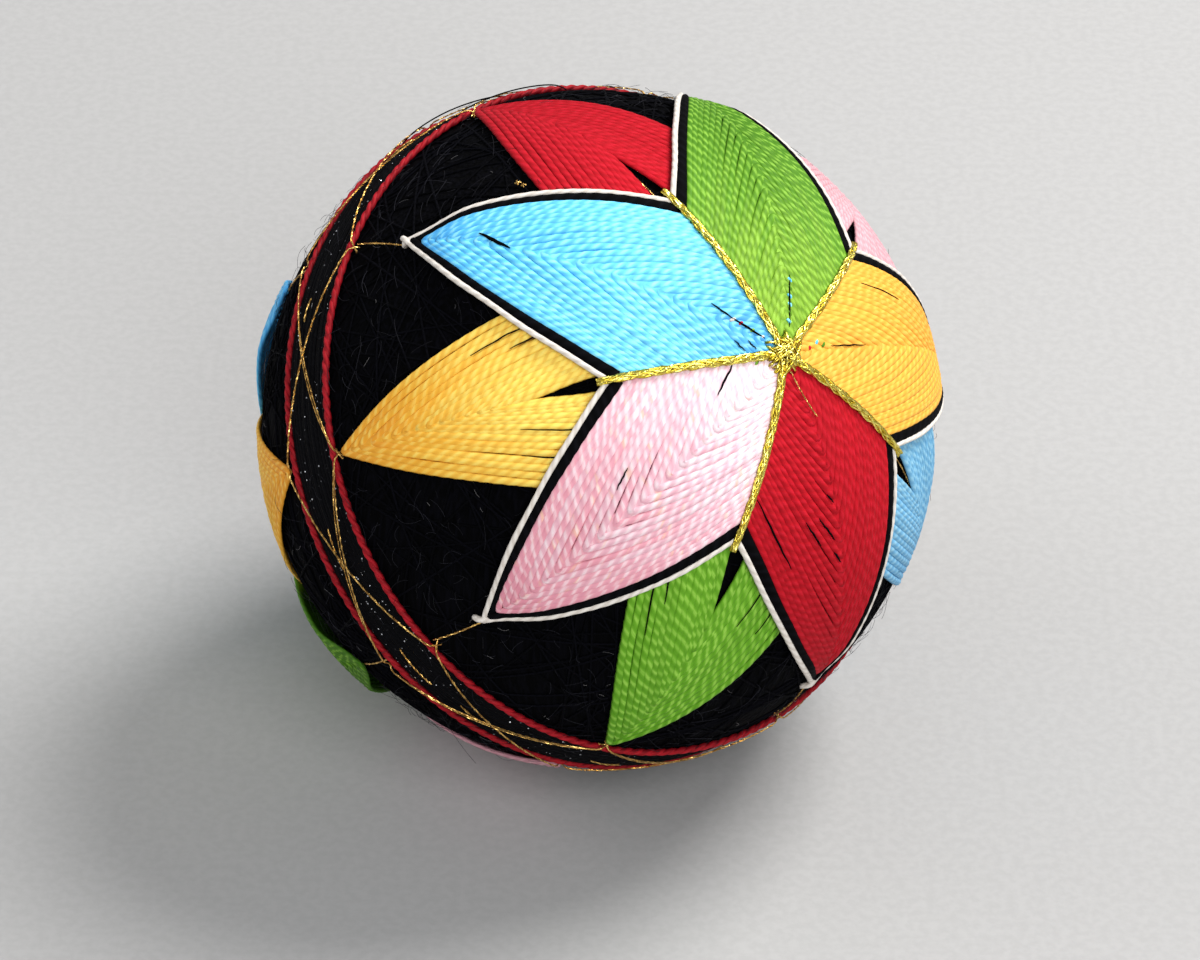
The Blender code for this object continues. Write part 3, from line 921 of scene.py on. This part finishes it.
def make_star(pole):
    """Five ribs, each of strands woven over a core, and a hub of crossed stitches."""
    threads = Threads()
    for rib in range(5):
        seam = rib * PETAL_STEP + HALF_STEP
        end = corner_reach(pole, seam) + RIB_BEYOND + draw.uniform(-0.3, 0.6)
        length = math.radians(end * POLES[pole]["stretch"]) * POLE_RADIUS
        s = np.linspace(0, 1, round(length / 0.0003))
        u = seam_direction(pole, RIB_STARTS + (end - RIB_STARTS) * s, seam)
        base = upper_base(pole, u) + RIB_LIFT - RIB_SINKS * s**8
        threads.lay(u, base - 0.00010, RIB_CORE[0] * (1 - 0.2 * s), RIB_CORE[1], form=FOIL)
        for strand in range(RIB_STRANDS):
            wave = 2 * math.pi * (s * length / STRAND_WAVE + strand / RIB_STRANDS) + draw.uniform(-0.5, 0.5)
            spread = STRAND_SPREAD * (1 - 0.25 * s)
            threads.lay(u, base + STRAND_RISE * np.cos(2 * wave), 0.00022, 0.00017,
                        aside=spread * np.sin(wave), form=FOIL, turn=draw.uniform(180, 320))
    top = upper_base(pole, pole_direction(pole, 0, 0)) + HUB_LIFT
    t = np.linspace(-1, 1, 14)
    for _ in range(HUB_STITCHES):
        heading = draw.uniform(0, 2 * math.pi)
        away, half = draw.uniform(-0.0011, 0.0011), draw.uniform(0.0012, 0.0027)
        x = math.cos(heading) * half * t - math.sin(heading) * away
        y = math.sin(heading) * half * t + math.cos(heading) * away
        u = unit(np.stack([x, y, np.full_like(t, POLE_RADIUS * POLES[pole]["sign"])], -1))
        lift = top + draw.uniform(0.0, 0.0007) - 0.0006 * t**4
        threads.lay(u, lift, 0.00019, 0.00016, form=FOIL, turn=draw.uniform(500, 800))
    threads.piece(f"{pole}_star_threads", [f"{pole}_gold_star"], FINISHES["gold"])


# ---------------------------------------------------------------- the band

RINGS_START = 200.0  # where round the ball the rings' ends meet: at the back
CORD_TWISTS = 84
CORD_LIFT, CORD_TWIST_RISE, CORD_TWIST_ASIDE = 0.00060, 0.00012, 0.00014
CORD_STRAND = (0.00029, 0.00030)
BAND_THREADS = 12
BAND_LIFT, BAND_THREAD = 0.00034, (0.00036, 0.00030)
ZIGZAG_REACH = (80.5, 95.0)
ZIGZAG_ROUNDS = ((0.0, 0.00013, 0.0), (36.0, 0.00011, 0.0), (36.0, 0.00008, 0.9))  # start, half, drift
ZIGZAG_LIFT = 0.00122
MARK_HALF = 0.00011
# Short gold ends that lie along the band: where, and how long
BAND_ENDS = ((-28, 5), (8, 4), (47, 7), (70, 8), (84, 5), (110, 6), (150, 7), (196, 6), (240, 8), (290, 6))
# Stitches of the small gold knots: by the northern red petal, and at the green one's point
KNOTS = (
    ((54.9, -17.9), (54.1, -16.9)), ((54.0, -17.8), (54.8, -17.0)),
    ((53.5, -17.6), (52.9, -16.8)), ((52.9, -17.6), (53.5, -16.9)),
    ((82.3, 108.6), (81.1, 107.4)), ((81.2, 108.8), (82.2, 107.4)),
)
LOOSE_END = ((3.0, 136.0), (11.6, 149.0))  # of gold, over the northern red petal
# Slack turns over the band: the two ends, how far they stand off it and their drift
SLACK = (
    ((93.5, -28.0), (84.0, -47.0), 0.00040, 1.5),
    ((84.5, -34.0), (79.5, -55.0), 0.00025, -1.0),
)


def ring(colatitude, step=0.0004):
    turns = np.linspace(RINGS_START, RINGS_START + 360, round(2 * math.pi * EQUATOR_RADIUS / step))
    return direction(np.full_like(turns, colatitude), turns), np.radians(turns)


def make_cord(name, colatitude, node):
    """A cord of two threads twisted round each other."""
    threads = Threads()
    u, turns = ring(colatitude)
    for strand in range(2):
        wave = turns * CORD_TWISTS + strand * math.pi
        threads.lay(u, CORD_LIFT + CORD_TWIST_RISE * np.cos(wave), *CORD_STRAND, form=ROUND, ply=CORD_PLY,
                    aside=CORD_TWIST_ASIDE * np.sin(wave), ripple=0.05, reach=0.5)
    threads.piece(name, [node], FINISHES["cord"])


def make_band():
    threads = Threads()
    for colatitude in np.linspace(*BAND_EDGES, BAND_THREADS):
        u, turns = ring(colatitude + draw.uniform(-0.12, 0.12), step=0.0008)
        threads.lay(u, BAND_LIFT + draw.uniform(-1, 1) * 0.00007, *BAND_THREAD, ply=BAND_PLY,
                    aside=0.00012 * np.sin(turns * draw.integers(2, 5) + draw.uniform(0, 6)))
    threads.piece("band_black_threads", ["band_black"], FINISHES["glitter"])


def make_zigzags():
    """Fine gold threads from one cord to the other and back."""
    threads = Threads(flat=True)
    t = np.linspace(-0.015, 1.015, 58)
    hump = np.sin(math.pi * t)
    ends = np.clip((np.abs(t - 0.5) - 0.46) / 0.055, 0, 1)
    lift = ZIGZAG_LIFT - 0.00018 * hump**2 - 0.0011 * ends**2
    for first, half, drift in ZIGZAG_ROUNDS:
        for leg in range(10):
            a, b = ZIGZAG_REACH if leg % 2 == 0 else ZIGZAG_REACH[::-1]
            colatitude = a + (b - a) * t + drift * hump * draw.uniform(0.4, 1.0)
            sway = 0.5 * np.sin(math.pi * t * 2) * draw.uniform(-1, 1)
            u = direction(colatitude, first + leg * HALF_STEP + HALF_STEP * t + sway)
            threads.lay(u, lift, half, half * 0.9, form=FOIL, turn=draw.uniform(300, 600))
    # The fine gold is painted darker, as in shade.
    threads.piece("band_gold_zigzags", [], FINISHES["gold_in_painted_shade"])


def make_marks():
    """What shows of the gold threads that mark out the ball, and their ends and knots."""
    threads = Threads(flat=True)

    def mark(start, end, lift=0.00035, half=MARK_HALF):
        (c0, l0), (c1, l1) = start, end
        length = math.radians(math.hypot(c1 - c0, l1 - l0)) * 0.038
        t = np.linspace(0, 1, max(8, round(length / 0.0004)))
        u = direction(c0 + (c1 - c0) * t, l0 + (l1 - l0) * t)
        threads.lay(u, lift + 0.00012 * np.sin(math.pi * t), half, half, form=FOIL,
                    turn=draw.uniform(300, 600))

    for petal in range(5):
        at = petal * PETAL_STEP
        mark((69.5, at + 0.4), (80.6, at - 0.6 + draw.uniform(-1, 1)))
        mark((107.2, at), (94.8, at + draw.uniform(-1.2, 1.2)))
        mark((80.2, at + HALF_STEP + 1.0), (81.4, at + HALF_STEP - 1.0))
        if petal in (2, 4):
            mark((31.0, at + HALF_STEP + 1.6), (45.5, at + HALF_STEP + 0.4), lift=0.00034, half=0.00009)
    for at, length in BAND_ENDS:
        mark((88.6, at), (89.3, at + length), lift=0.00078)
    for start, end in KNOTS:
        mark(start, end, lift=0.00040, half=0.00012)
    mark(*LOOSE_END, lift=0.00196, half=0.00009)
    # The fine gold is painted darker, as in shade.
    threads.piece("gold_marking_threads", [], FINISHES["gold_in_painted_shade"])


def make_slack():
    """Slack turns of fine thread that stand a little off the band, held at both ends."""
    threads = Threads()
    s = np.linspace(0, 1, 48)
    hump = np.sin(math.pi * s)
    for (c0, l0), (c1, l1), height, drift in SLACK:
        u = direction(c0 + (c1 - c0) * s + drift * hump, l0 + (l1 - l0) * s)
        threads.lay(u, 0.00105 + height * hump**1.3 - 0.0007 * (2 * s - 1) ** 8, 0.00010, 0.00010, form=FINE)
    threads.piece("slack_black_thread", [], FINISHES["windings"])


# ---------------------------------------------------------------- loose fibres

FIBRE_HALF = 0.000022
FLUFF = (
    {"name": "dark_fluff", "slot": "ball_black", "count": 1500, "size": 1.0, "rise": (0.03, 0.27),
     "colours": ((0.004, 0.004, 0.006, 1), (0.020, 0.020, 0.028, 1))},
    {"name": "pale_lint", "slot": "white", "count": 160, "size": 0.5, "rise": (0.0, 0.2),
     "colours": ((0.05, 0.05, 0.055, 1), (0.20, 0.19, 0.19, 1))},
)


def bare(u):
    """Whether a direction lies outside every petal."""
    return all(
        outside_star(pole, u, turn, tip, corner) >= 0.0002 for pole in POLES
        for turn, tip, corner in ((0.0, UPPER_TIP, UPPER_CORNER), (HALF_STEP, LOWER_TIP, LOWER_ANCHOR)))


def lay_fibre(threads, u, size, rises):
    """A short curled fibre that stands off the ball."""
    across = unit(np.cross(u, draw.normal(size=3)))
    aside = np.cross(u, across)
    length = draw.uniform(0.0008, 0.0034) * size
    t = np.linspace(0, 1, 7)[:, None]
    curl = draw.uniform(-1.4, 1.4)
    rise = draw.uniform(*rises)
    path = (on_ball(u, 0.0002) + u * 0.0002
            + across * length * np.sin(curl * t) / (curl + 1e-3)
            + aside * length * (1 - np.cos(curl * t)) / (curl + 1e-3)
            + u * length * rise * np.sin(t * draw.uniform(1.2, 2.9)))
    threads.sweep(path, np.broadcast_to(u, path.shape), FIBRE_HALF, FIBRE_HALF, form=FIBRE)


def make_fluff(name, slot, count, size, rise, colours):
    threads = Threads()
    while len(threads.laid) < count:
        u = unit(draw.normal(size=3))
        if bare(u):
            lay_fibre(threads, u, size, rise)
    threads.piece(name, [], fluff(name, *colours))


make_ball()
make_windings()
for pole_name, facts in POLES.items():
    for order, petal_colour in enumerate(facts["colours"]):
        make_upper_petal(pole_name, order * PETAL_STEP, petal_colour)
        make_lower_petal(pole_name, order * PETAL_STEP + 180, petal_colour)
    make_star(pole_name)
make_edge("north_white_edge", WHITE_AT, WHITE_HALF, (0.0006, 0.0013), "north_white_round", "white")
make_edge("north_black_edge", BLACK_AT, BLACK_HALF, (0.0002, 0.0002), "north_black_round", "black",
          widens=BLACK_WIDENS)
make_cord("band_cord_north_threads", NORTH_CORD_AT, "band_cord_north")
make_cord("band_cord_south_threads", SOUTH_CORD_AT, "band_cord_south")
make_band()
make_zigzags()
make_marks()
make_slack()
make_slits()
make_peeps()
for kind in FLUFF:
    make_fluff(**kind)


# ---------------------------------------------------------------- floor, lights and camera


FLOOR_HALF = 3.0
WORLD_STRENGTH = 0.36
CAMERA_LENS, CAMERA_SENSOR = 165, 36  # in millimetres
CAMERA_ELEVATION = 36.3
CAMERA_DISTANCE = 0.62207
CAMERA_DROP = 0.0060
CAMERA_ASIDE = 0.00036


def make_floor():
    mesh = bpy.data.meshes.new("floor")
    half = FLOOR_HALF
    mesh.from_pydata([(-half, -half, 0), (half, -half, 0), (half, half, 0), (-half, half, 0)], [],
                     [(0, 1, 2, 3)])
    f = Finish("pale_floor", roughness=0.9, specular_ior_level=0.2)
    at = f.add("TexCoord", {}, {}).outputs["Object"]
    cloth = f.noise(at, 900.0, 2.0)
    colour = f.mix(f.smooth(cloth, 0.3, 0.7), (0.385, 0.383, 0.380, 1), (0.410, 0.408, 0.405, 1))
    mesh.materials.append(f.wear(base_color=colour, normal=f.bump(cloth, 0.0001, 0.3)))
    floor = bpy.data.objects.new("floor", mesh)
    bpy.context.scene.collection.objects.link(floor)


def make_light(name, position, size, power, colour=(1, 1, 1)):
    light = bpy.data.lights.new(name, "AREA")
    light.shape, light.size, light.energy, light.color = "DISK", size, power, colour
    holder = bpy.data.objects.new(name, light)
    holder.location = position
    aim = Vector(CENTRE) - Vector(position)
    holder.rotation_euler = aim.to_track_quat("-Z", "Y").to_euler()
    bpy.context.scene.collection.objects.link(holder)


make_floor()
make_light("key", (0.45, 0.25, 0.75), 0.45, 10.2, (1.0, 0.98, 0.96))
make_light("front", (0.25, -0.75, 0.60), 0.60, 5.8)
make_light("left", (-0.8, 0.1, 0.45), 0.5, 2.0, (0.95, 0.97, 1.0))
world = bpy.data.worlds.new("studio")
world.use_nodes = True
background = world.node_tree.nodes["Background"]
background.inputs["Color"].default_value = (0.95, 0.97, 1.0, 1)
background.inputs["Strength"].default_value = WORLD_STRENGTH
bpy.context.scene.world = world
bpy.context.scene.view_settings.view_transform = "Standard"

elevation = math.radians(CAMERA_ELEVATION)
right, up = Vector((1, 0, 0)), Vector((0, math.sin(elevation), math.cos(elevation)))
back = right.cross(up)
camera = bpy.data.cameras.new("camera")
camera.lens, camera.sensor_width = CAMERA_LENS, CAMERA_SENSOR
viewer = bpy.data.objects.new("camera", camera)
viewer.matrix_world = Matrix.Translation(
    Vector(CENTRE) + back * CAMERA_DISTANCE - up * CAMERA_DROP + right * CAMERA_ASIDE
) @ Matrix((right, up, back)).transposed().to_4x4()
bpy.context.scene.collection.objects.link(viewer)
bpy.context.scene.camera = viewer
